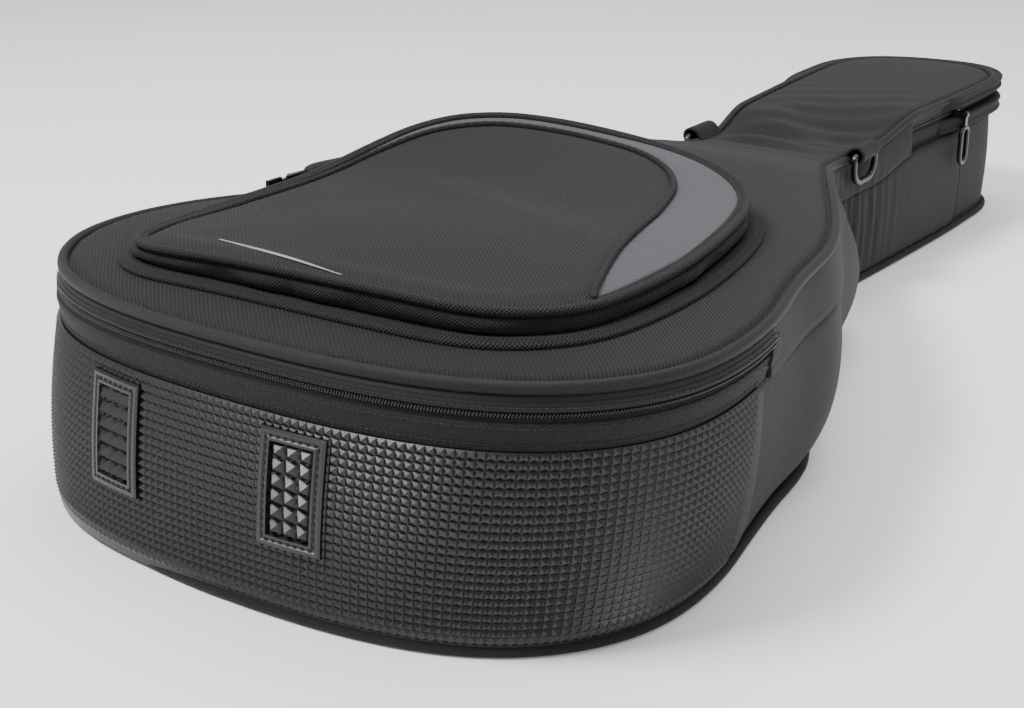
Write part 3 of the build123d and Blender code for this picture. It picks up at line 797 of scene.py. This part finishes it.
def lid_top(x, y):
    """The lid's upper face: crowned, with creases at the waist and neck."""
    xy = np.stack([np.ravel(x), np.ravel(y)], axis=1)
    d = bag.depth(xy).reshape(np.shape(x))
    crown = 5.0 * (1 - np.exp(-d / 22)) - 3.0 * np.exp(-((d - 4.2) / 2.4) ** 2)
    warp = 6 * np.sin(x / 31 + 0.7) + 4 * np.sin(x / 17 + y / 60)
    folds = (1.5 * np.sin((y + 0.30 * x + warp) / 7.5) * bump(y, 690, 52)
             + 1.1 * np.sin((y - 0.35 * x + warp) / 5.2) * bump(y, 735, 40)
             + 1.3 * np.sin((y + 0.2 * x - warp) / 11) * bump(y, 600, 60)
             + 0.8 * np.sin((y - 0.6 * x) / 6.5 + warp / 9) * bump(y, 820, 60))
    hollows = (-3.0 * bump(y - 0.25 * x + warp, 705, 12)
               - 2.4 * bump(y + 0.35 * x - warp, 655, 9)
               + 2.6 * bump(y - 0.1 * x + warp, 676, 10)
               - 1.8 * bump(y + 0.15 * x + warp, 760, 13))
    creases = (folds + hollows) * (1 - np.exp(-(d / 14) ** 2))
    return zip_z(x, y) + 14.5 + crown + creases + 0.7 * ripple(x / 42, y / 42,
                                                               11)


def above_zip(height):
    return lambda x, y: zip_z(x, y) + height


panel("lid_panel", -1.5, lid_top, above_zip(10.2), shell, nx=84, ny=330)
panel("lining_lid", -8.5, above_zip(10.1),
      lambda x, y: zip_z(x, y) + 8.2 + 0.4 * ripple(x / 24, y / 24, 5),
      lining, nx=36, ny=110)

# --- right side web
# The cloth from the right wall's top edge, past the zip line, to the piping.
s = stations(zip_lower, zip_upper, 2.2)
y = bag.at(s)[:, 1][:, None]
t = np.linspace(0, 1, 9)[None]
z = zl(s)[:, None] - 20.5 + t * 31.5
wall = right_bulge(np.minimum(y, JOIN_Y), 1 + 0.29 * t) + 0.6 * t
neck = 2.4 * (1 - t) + 1.2 * t + 0.8 * np.sin(np.pi * t)
join = smooth(604, 640, y)
o = (wall * (1 - join) + neck * join
     + neck_pleats(z, y, 0.92) * (1 - t) ** 0.8)
sweep("hinge_web", s, double(o, o - 2.5), double(z, z), [side_cloth])

# --- neck panels
panel_low, panel_high = bag.station(634), bag.station(922)
for label, start, stop in (("right", panel_low, panel_high),
                           ("left", L - panel_high, L - panel_low)):
    s = stations(start, stop, 2.2)
    y = bag.at(s)[:, 1][:, None]
    t = np.linspace(0, 1, 15)[None]
    z = 9 + (zl(s)[:, None] - 20.5 - 9) * t
    from_end = np.minimum(np.arange(len(s)), np.arange(len(s))[::-1])[:, None]
    o = (1.2 + 1.4 * smooth(0, 2, from_end) + head_bulge(y, t)
         + neck_pleats(z, y, t * 0.85) * 0.9)
    sweep("neck_panel_" + label, s, double(o, 0 * o + 0.05), double(z, z),
          [side_cloth])

# --- headstock rolls
UPPER_ROLL = [(-2, 4.6), (4.5, 4.4), (7.6, 5.0), (8.9, 6.6), (8.6, 8.3),
              (7.7, 9.2), (7.6, 10.8), (7.9, 12.0), (9.0, 13.2), (9.2, 14.9),
              (8.0, 16.2), (6.2, 16.3), (4.6, 15.4), (-2, 15.0)]
LOWER_ROLL = [(-2, -16.5), (6, -16.8), (8.4, -15.9), (9.1, -14.2),
              (8.3, -12.6), (7.7, -11.2), (7.7, -8.6), (8.4, -7.4),
              (9.0, -5.8), (8.2, -4.3), (6.2, -3.6), (-2, -3.4)]
first, last = bag.station(868), L - bag.station(872)
s = stations(first, last, 3)
swell = np.clip(np.minimum((s - first) / 35, (last - s) / 70), 0, 1)
swell = (0.12 + 0.88 * np.sin(swell * math.pi / 2))[:, None]
for name, profile in (("headstock_lid_roll", UPPER_ROLL),
                      ("headstock_rim", LOWER_ROLL)):
    pts = np.array(profile, float)
    sweep(name, s, -2 + (pts[:, 0] + 2)[None] * swell,
          zl(s)[:, None] + pts[:, 1][None], [binding])

# --- pocket
POCKET_LINE = [
    # x, y, and how far the rim stands above its usual height
    (0, 50, 2.5), (70, 51, 2.0), (122, 60, 0.0), (150, 86, -2.0),
    (162, 132, -2.5), (163, 190, -2.5), (157, 245, -2.0), (146, 298, -1.0),
    (127, 339, 0.5), (97, 366, 4.5), (56, 382, 10.0), (0, 388, 16.0),
    (-56, 386, 20.0), (-97, 372, 21.5), (-128, 343, 17.0), (-146, 298, 5.0),
    (-153, 245, -4.0), (-155, 190, -5.5), (-152, 132, -5.0), (-145, 88, -3.0),
    (-122, 53, 1.5), (-70, 47.5, 2.5),
]
pocket = Loop([row[:2] for row in POCKET_LINE])
PL = pocket.length
ps = np.linspace(0, PL, 420, endpoint=False)
knots = [pocket.s[((pocket.q[:-1] - row[:2]) ** 2).sum(1).argmin()]
         for row in POCKET_LINE]
knot_z = [row[2] for row in POCKET_LINE]


def rim_rise(s):
    """Height of the pocket's rim above its usual height, softened."""
    return sum(np.interp(np.mod(s + shift, PL), knots + [PL],
                         knot_z + knot_z[:1])
               for shift in (-24, -12, 0, 12, 24)) / 5


def pocket_ring(name, o, z, mat, on_lid=0.0, wave=0.0):
    """Closed ring round the pocket. on_lid says how much of each height is
    counted from the lid's surface."""
    out = np.broadcast_to(o, (len(ps), len(o))) + wave
    x, y = np.moveaxis(pocket.at(ps[:, None], out), -1, 0)
    k = np.broadcast_to(on_lid, len(o))[None]
    height = z + rim_rise(ps)[:, None]
    if k.any():
        height = height * (1 - k) + (lid_top(x, y) + z - 156.5) * k
    grid(name, np.stack([x, y, height], axis=-1), [mat], closed=True)


pocket_ring("pocket_flange",
            [0, 3.5, 6.0, 7.4, 8.4, 10.0, 11.4, 10.9, 9.2, 4, 0],
            [160, 160.4, 161.2, 160.9, 159.4, 159.8, 158.2, 156.4, 155.6,
             155.4, 155.4], coarse, on_lid=1.0)
waves = (1.3 * np.sin(ps / 17 + 1.7 * np.sin(ps / 61))
         + 0.9 * np.sin(ps / 8.3))[:, None]
pocket_ring("pocket_gusset",
            [-2.6, -0.2, 1.6, 1.9, 0.4, -2.5, -5, -7],
            [158.5, 161.0, 164.2, 166.8, 168.0, 168.0, 163, 158.5], coarse,
            on_lid=[1, 0.75, 0.35, 0.1, 0, 0, 0.5, 1],
            wave=waves * np.array([0, 0.6, 1, 0.7, 0.1, 0, 0, 0]))
for name, low in (("pocket_zip_lower", 168.1), ("pocket_zip_upper", 168.8)):
    pocket_ring(name, [-3.2, -0.6, -0.6, -3.2],
                [low, low, low + 0.6, low + 0.6], tape)
pocket_ring("pocket_rim_piping",
            [-3, 0.2, 1.7, 2.4, 2.0, 0.7, -1.0, -2.4, -3.4, -4.8, -6.2, -6.4],
            [169.5, 169.6, 170.3, 171.6, 173.1, 174.1, 174.3, 173.6, 172.6,
             173.8, 173.4, 170.5], coarse)

# the seam between the black panel and the accent panel
SEAM = [
    (168, 84), (156, 98), (142, 130), (128, 172), (115, 222), (105, 268),
    (91, 310), (71, 338), (42, 357), (8, 365), (-35, 366), (-82, 356),
    (-112, 334), (-132, 294), (-141, 245), (-146, 190), (-146, 132),
    (-140, 92), (-132, 70),
]


def open_line(points, samples=700):
    """Smooth open line through points."""
    p = np.array(points, float)
    t = np.concatenate(
        [[0], np.cumsum(np.linalg.norm(np.diff(p, axis=0), axis=1))])
    m = np.gradient(p, t, axis=0)
    u = np.linspace(0, t[-1], samples)
    k = np.clip(np.searchsorted(t, u, side="right") - 1, 0, len(p) - 2)
    h = (t[k + 1] - t[k])[:, None]
    w = (u - t[k])[:, None] / h
    return ((2 * w ** 3 - 3 * w ** 2 + 1) * p[k]
            + (w ** 3 - 2 * w ** 2 + w) * h * m[k]
            + (3 * w ** 2 - 2 * w ** 3) * p[k + 1]
            + (w ** 3 - w ** 2) * h * m[k + 1])


seam_line = open_line(SEAM)


def inside(xy, poly):
    x, y = xy[:, 0], xy[:, 1]
    hit = np.zeros(len(xy), bool)
    for (x0, y0), (x1, y1) in zip(poly, np.roll(poly, -1, axis=0)):
        hit ^= ((y0 > y) != (y1 > y)) & (
            x < (x1 - x0) * (y - y0) / (y1 - y0 + 1e-12) + x0)
    return hit


def pocket_sides():
    """The rim from its nearest to its farthest point, both ways."""
    t = np.linspace(0, PL, 1600, endpoint=False)
    rim = np.column_stack([pocket.at(t, -5.0), rim_rise(t)])
    rim = np.roll(rim, -rim[:, 1].argmin(), axis=0)
    far = rim[:, 1].argmax()
    return rim[:far + 1], np.concatenate([rim[far:], rim[:1]])[::-1]


rim_right, rim_left = pocket_sides()


def rim_at(side, y):
    """x and rise of one side of the rim at y."""
    return (np.interp(y, side[:, 1], side[:, k]) for k in (0, 2))


def dome_z(x, y):
    """The pocket cover's upper face, hung between the sides of its rim."""
    shape = np.shape(x)
    x, y = np.ravel(x), np.ravel(y)
    xy = np.stack([x, y], axis=1)
    d = pocket.depth(xy)
    from_seam = nearest(xy, seam_line[::6])
    xr, zr = rim_at(rim_right, y)
    xl, zleft = rim_at(rim_left, y)
    e = np.clip((x - xl) / np.maximum(xr - xl, 1), 0, 1)
    z = 172.0 + zleft * (1 - e) + zr * e
    z += 6.0 * (1 - np.exp(-np.maximum(d - 5, 0) / 26))
    z += 5.5 * np.exp(-((y - 150) / 70) ** 2 - ((x - 40) / 110) ** 2)
    z -= 1.6 * np.exp(-(from_seam / 6.5) ** 2)
    # a roll inside the near edge, a long dent, a ridge and soft waves
    z += 1.4 * np.exp(-((d - 16) / 9) ** 2) * (1 - smooth(90, 170, y))
    z -= 2.6 * np.exp(-(((x + 95) * 0.8 + (y - 150) * 0.6) / 15) ** 2
                      - (((y - 150) * 0.8 - (x + 95) * 0.6) / 55) ** 2)
    z += 1.8 * np.exp(-(((x - 20) * 0.35 + (y - 215) * 0.93) / 16) ** 2
                      - (((x - 20) * 0.93 - (y - 215) * 0.35) / 95) ** 2)
    z += 0.8 * ripple(x / 38, y / 38, 21) + 0.3 * ripple(x / 13, y / 13, 8)
    return z.reshape(shape)


def dome_grid(nx=150, ny=160):
    """Points over the inside of the rim, closer together at its ends."""
    f = (np.linspace(0, 1, ny) * 0.7
         + (1 - np.cos(np.linspace(0, math.pi, ny))) / 2 * 0.3)
    y0, y1 = rim_right[0, 1], rim_right[-1, 1]
    y = (y0 + 0.05 + (y1 - y0 - 0.1) * f)[:, None]
    (xr, _), (xl, _) = rim_at(rim_right, y), rim_at(rim_left, y)
    return xl + (xr - xl) * np.linspace(0, 1, nx)[None], np.repeat(y, nx, 1)


dome_x, dome_y = dome_grid()
rows, cols = dome_x.shape
quads = [(a, a + 1, a + cols + 1, a + cols)
         for i in range(rows - 1) for a in range(i * cols, (i + 1) * cols - 1)]
dome = np.stack([dome_x, dome_y, dome_z(dome_x, dome_y)],
                axis=-1).reshape(-1, 3)
near_part = np.concatenate([seam_line, [(-150, 20), (0, 10), (175, 20)]])
is_black = inside(dome[np.array(quads)].mean(1)[:, :2], near_part)


def cover_part(name, faces, mat, thick=3.0):
    """The chosen faces of the cover, made into a closed sheet."""
    used = np.unique(faces)
    index = {v: i for i, v in enumerate(used)}
    n = len(used)
    top = [tuple(index[v] for v in face) for face in faces]
    edges = {edge for face in top for edge in zip(face, face[1:] + face[:1])}
    under = [tuple(v + n for v in face[::-1]) for face in top]
    wall = [(b, a, a + n, b + n) for a, b in sorted(edges)
            if (b, a) not in edges]
    make(name, np.concatenate([dome[used], dome[used] - [0, 0, thick]]),
         top + under + wall, [mat])


cover_part("pocket_top_panel", [q for q, k in zip(quads, is_black) if k],
           shell)
cover_part("pocket_accent_panel",
           [q for q, k in zip(quads, is_black) if not k], accent)


def unit_tangents(path):
    tangent = np.gradient(path, axis=0)
    return tangent / np.linalg.norm(tangent, axis=1)[:, None]


on_cover = seam_line[(pocket.depth(seam_line) > 4.5)
                     & inside(seam_line, pocket.q[::40])]
path = np.column_stack([on_cover, dome_z(*on_cover.T) + 1.1])
tangent = unit_tangents(path)
side = np.cross(tangent, [0, 0, 1.0])
side /= np.linalg.norm(side, axis=1)[:, None]
cord_o, cord_z = circle(2.1, 10)
grid("pocket_inner_piping",
     path[:, None] + cord_o[None, :, None] * side[:, None]
     + cord_z[None, :, None] * np.cross(side, tangent)[:, None], [coarse])

# a plain silver bar near the cover's lower edge
bar = np.linspace([-78, 74], [24, 59], 40)
across = np.array([0.232, 0.973])
half = 1.3 * np.sin(math.pi * np.clip(np.arange(40) / 39, 0.08, 1) * 0.9 + 0.2)
corners = np.array([(-1, 0), (1, 0), (1, 0.5), (-1, 0.5)])
xy = bar[:, None] + half[:, None, None] * corners[None, :, :1] * across
z = dome_z(*bar.T)[:, None] + 0.15 + corners[None, :, 1]
grid("plain_bar", np.concatenate([xy, z[..., None]], axis=2), [silver])

# --- ring tabs
TAB_PATH = [(64, 117.6), (67.5, 122.6), (71, 127.0), (75, 129.6),
            (79.6, 129.4), (82.8, 126.6), (83.4, 122.6), (81.4, 119.2),
            (77.5, 117.7), (73.5, 117.6), (69, 116.6)]
TAB_ENDS = (667, 705)
TAB_THICK = 2.0


def ring_tab(name, mirror):
    """Webbing of even thickness along a path in x and z."""
    p = open_line(TAB_PATH, 48)
    t = unit_tangents(p)
    normal = np.column_stack([-t[:, 1], t[:, 0]]) * TAB_THICK / 2
    x, z = np.concatenate([p + normal, (p - normal)[::-1]]).T
    sections = [np.column_stack([x * mirror, np.full(len(x), y), z])
                for y in np.linspace(*TAB_ENDS, 14)]
    grid(name, np.array(sections)[::-mirror], [webbing])


ring_tab("d_ring_tab_right", 1)
ring_tab("d_ring_tab_left", -1)

# --- handle
HALF_SPAN, STAND, HANDLE_LOW, HANDLE_RISE = 70.2, 20.0, 104.0, 38.0
HANDLE_CORNER = 26.0
GRIP_HALF, GRIP_UP, GRIP_OUT = 39.0, 14, 6.8
handle_middle = np.array([-180.855, 336.01])
handle_along = np.array([0.24917, 0.96846])
handle_out = np.array([-0.96846, 0.24917])


def handle_point(along, up, out):
    """Point of the handle: along its chord, up, and off its plane."""
    xy = handle_middle + handle_out * (STAND + out) + handle_along * along
    return [xy[0], xy[1], HANDLE_LOW + up]


route = [(-HALF_SPAN, 0), (-HALF_SPAN, HANDLE_RISE - HANDLE_CORNER)]
route += [(-HALF_SPAN + HANDLE_CORNER * (1 - math.cos(w)),
           HANDLE_RISE - HANDLE_CORNER * (1 - math.sin(w)))
          for w in np.linspace(0.1, math.pi / 2, 12)]
route += [(0, HANDLE_RISE)]
route = np.array(route + [(-a, b) for a, b in route[-2::-1]])
section = [(-10, -1.6), (-9, -2.1), (9, -2.1), (10, -1.6), (10, 1.6),
           (9, 2.1), (-9, 2.1), (-10, 1.6)]
grid("handle_strap", np.array(
    [[handle_point(a - tz * w, b + ta * w, out) for w, out in section]
     for (a, b), (ta, tz) in zip(route, unit_tangents(route))]), [webbing])


def rounded(value):
    """Turns a circle's cosine or sine into a rounded box's."""
    return math.copysign(abs(value) ** 0.55, value)


sections = []
for a in np.linspace(-GRIP_HALF, GRIP_HALF, 40):
    full = 0.72 + 0.28 * max(0.0, 1 - (abs(a) / GRIP_HALF) ** 6) ** 0.5
    sections.append([handle_point(
        a, HANDLE_RISE + rounded(math.cos(w)) * GRIP_UP * full,
        rounded(math.sin(w)) * GRIP_OUT * full)
        for w in np.arange(20) / 20 * TAU])
grid("handle_grip", np.array(sections), [side_cloth])
for label, y_end in (("front", 268.0), ("rear", 404.0)):
    middle = L - bag.station(y_end)
    s = np.linspace(middle - 14, middle + 14, 12)
    z = 56 + 40 * np.linspace(0, 1, 10)
    o = bout_bulge(bag.at(s)[:, 1][:, None], up_wall(z)[None]) + 2.6
    sweep("handle_anchor_" + label, s, double(o, o - 2.4), double(z, z),
          [webbing], base=True)

# --- inside pieces
PAD_LOW = 10.6


def inner_pad(name, start, stop, high):
    """A foam pad that stands against the inside of the wall."""
    s = stations(start, stop, 4)
    e = np.clip(np.minimum(s - start, stop - s) / 12, 0, 1)
    e = np.sqrt(1 - (1 - e) ** 2)[:, None]
    co, si = circle(1, 24)
    middle, half = (PAD_LOW + high) / 2, (high - PAD_LOW) / 2
    o = -15.2 + np.sign(co) * np.abs(co) ** 0.5 * 4.7 * (0.35 + 0.65 * e)
    z = middle + np.sign(si) * np.abs(si) ** 0.35 * half * (0.9 + 0.1 * e)
    sweep(name, s, o, z, [lining])


inner_pad("end_pad", -95, 95, 104)
inner_pad("headstock_pad", L / 2 - 48, L / 2 + 48, 90)

REST_HALF, REST_NEAR, REST_FAR, REST_TOP, NOTCH_HALF = 56, 692, 748, 66, 36
sections = []
for y in np.linspace(REST_NEAR + 0.2, REST_FAR - 0.2, 24):
    e = min(1, min(y - REST_NEAR, REST_FAR - y) / 6)
    inset = 3.0 * (1 - math.sqrt(1 - (1 - e) ** 2))
    ring = []
    for x in np.linspace(-REST_HALF + inset, REST_HALF - inset, 40):
        notch = 28 * math.sqrt(max(0, 1 - (x / NOTCH_HALF) ** 2))
        corner = 4 * (1 - min(1, (REST_HALF - abs(x)) / 6)) ** 2
        ring.append((x, y, REST_TOP - notch - corner - inset * 0.4))
    ring += [(x, y, 10.3)
             for x in np.linspace(REST_HALF - inset, -REST_HALF + inset, 12)]
    sections.append(ring)
grid("neck_rest", np.array(sections)[::-1], [lining])

STRAP_HALF = 54
sections = []
for x in np.linspace(-STRAP_HALF, STRAP_HALF, 40):
    top = 69.1 + (1.2 if 17 < x < 51 else 0)   # thicker where it is doubled
    w = 16 * (0.85 + 0.15 * min(1, (STRAP_HALF - abs(x)) / 3))
    sections.append([(x, 720 + across, z) for across, z in (
        (-w, 67.0), (-w + 1, 66.6), (w - 1, 66.6), (w, 67.0),
        (w, 68.6), (w - 1, top), (-w + 1, top), (-w, 68.6))])
grid("neck_strap", np.array(sections), [webbing])

s = stations(zip_lower - 8, zip_lower + 8, 2)
t = np.linspace(0, 1, 8)
z = 122.5 + 14 * t
o = 3.2 + 1.2 * np.sin(np.pi * t)
sweep("zip_end_tab", s, double(o, o - 2.8), double(z, z), [webbing])

# --- camera, light
AZ, EL, ROLL = 0.58355, 0.35739, -0.01104
CAMERA_PLACE = (0.52797, -1.080198, 0.41970)
camera = bpy.data.cameras.new("camera")
camera.sensor_width = 36
camera.lens = 53.891016
camera.clip_end = 50
view = bpy.data.objects.new("camera", camera)
bpy.context.scene.collection.objects.link(view)
forward = Vector((-math.sin(AZ) * math.cos(EL), math.cos(AZ) * math.cos(EL),
                  -math.sin(EL)))
right = Vector((math.cos(AZ), math.sin(AZ), 0))
up = right.cross(forward)
axes = (right * math.cos(ROLL) + up * math.sin(ROLL),
        up * math.cos(ROLL) - right * math.sin(ROLL), -forward,
        Vector(CAMERA_PLACE))
view.matrix_world = Matrix([[*row] for row in zip(*axes)] + [[0, 0, 0, 1]])
bpy.context.scene.camera = view


def area(name, place, target, size, power):
    light = bpy.data.lights.new(name, "AREA")
    light.shape = "RECTANGLE"
    light.size, light.size_y = size
    light.energy = power
    lamp = bpy.data.objects.new(name, light)
    bpy.context.scene.collection.objects.link(lamp)
    lamp.location = place
    lamp.rotation_euler = (Vector(target) - Vector(place)).to_track_quat(
        "-Z", "Y").to_euler()


area("key", (-0.9, -1.35, 2.4), (0, -0.3, 0.1), (0.9, 0.7), 95)
area("top", (0.2, 0.6, 2.6), (0, 0.0, 0.1), (2.4, 1.6), 55)
area("fill", (2.6, -0.4, 1.2), (0, 0, 0.1), (1.6, 1.2), 22)

world = bpy.data.worlds.new("studio")
bpy.context.scene.world = world
world.use_nodes = True
background = world.node_tree.nodes["Background"]
background.inputs["Color"].default_value = (1, 1, 1, 1)
background.inputs["Strength"].default_value = 0.62

F = 30   # half of the floor's width, in metres
floor_mesh = bpy.data.meshes.new("floor")
floor_mesh.from_pydata([(-F, -F, 0), (F, -F, 0), (F, F, 0), (-F, F, 0)], [],
                       [(0, 1, 2, 3)])
floor = bpy.data.objects.new("floor", floor_mesh)
bpy.context.scene.collection.objects.link(floor)
k = Maker("floor")
k.colour(k.noise(k.object_coords(), 0.6, 2, 0.5), 0.3, (0.90, 0.90, 0.90),
         0.7, (0.93, 0.93, 0.93))
k.shader.inputs["Roughness"].default_value = 0.9
floor_mesh.materials.append(k.mat)

# --- bodies, slots
GUSSETS = ["gusset_bottom", "gusset_right_bout", "gusset_left_bout",
           "gusset_right_neck", "gusset_left_neck", "gusset_headstock"]
TABLE = {
    "base": {
        "shell_cloth": GUSSETS + ["back_panel"],
        "gusset_cloth": ["neck_panel_right", "neck_panel_left"],
        "bumper_rubber": ["end_bumper", "bumper_foot_left",
                          "bumper_foot_right", "foot_stitches_left",
                          "foot_stitches_right"],
        "binding_cloth": ["seam_binding_left", "seam_binding_right",
                          "base_binding", "binding_stitches",
                          "binding_stitches_low"],
        "piping_cloth": ["back_piping", "headstock_rim"],
        "lining_cloth": ["lining_back"],
        "foam_cloth": ["end_pad", "headstock_pad", "neck_rest"],
        "zip_tape": ["base_zip_tape"], "zip_coil": ["base_zip_coil"],
        "webbing": ["zip_end_tab", "handle_anchor_front",
                    "handle_anchor_rear"],
    },
    "lid": {
        "zip_tape": ["lid_zip_tape", "pocket_zip_lower"],
        "zip_coil": ["lid_zip_coil"],
        "binding_cloth": ["lid_lip_band", "lip_stitches"],
        "piping_cloth": ["lid_piping", "headstock_lid_roll"],
        "shell_cloth": ["lid_panel"], "lining_cloth": ["lining_lid"],
        "gusset_cloth": ["pocket_flange", "pocket_gusset"],
        "webbing": ["d_ring_tab_left", "d_ring_tab_right"],
    },
    "pocket_cover": {
        "shell_cloth": ["pocket_top_panel"],
        "accent_cloth": ["pocket_accent_panel"],
        "piping_cloth": ["pocket_inner_piping", "pocket_rim_piping"],
        "zip_tape": ["pocket_zip_upper"], "ring_metal": ["plain_bar"],
    },
    "handle": {"webbing": ["handle_strap"], "foam_cloth": ["handle_grip"]},
    "strap": {"webbing": ["neck_strap"]},
}
for body, slots in TABLE.items():
    for slot, names in slots.items():
        for name in names:
            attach(pieces[name], body)
            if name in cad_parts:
                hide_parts(name)

web = pieces["hinge_web"]
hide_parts("hinge_strip")
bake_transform(web)

for name in ("d_ring_left", "d_ring_right", "main_slider", "main_puller",
             "pocket_slider", "pocket_puller"):
    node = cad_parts[name]
    node.data.materials.clear()
    node.data.materials.append(metal)
    for polygon in node.data.polygons:
        polygon.use_smooth = True

PADDED = [(0.7, GUSSETS), (0.6, ["lid_panel"]),
          (0.9, ["end_pad", "headstock_pad"]), (0.95, ["neck_rest"]),
          (0.8, ["handle_grip"]), (0.5, ["pocket_top_panel"]),
          (0.6, ["back_panel"])]
for fill, names in PADDED:
    for name in names:
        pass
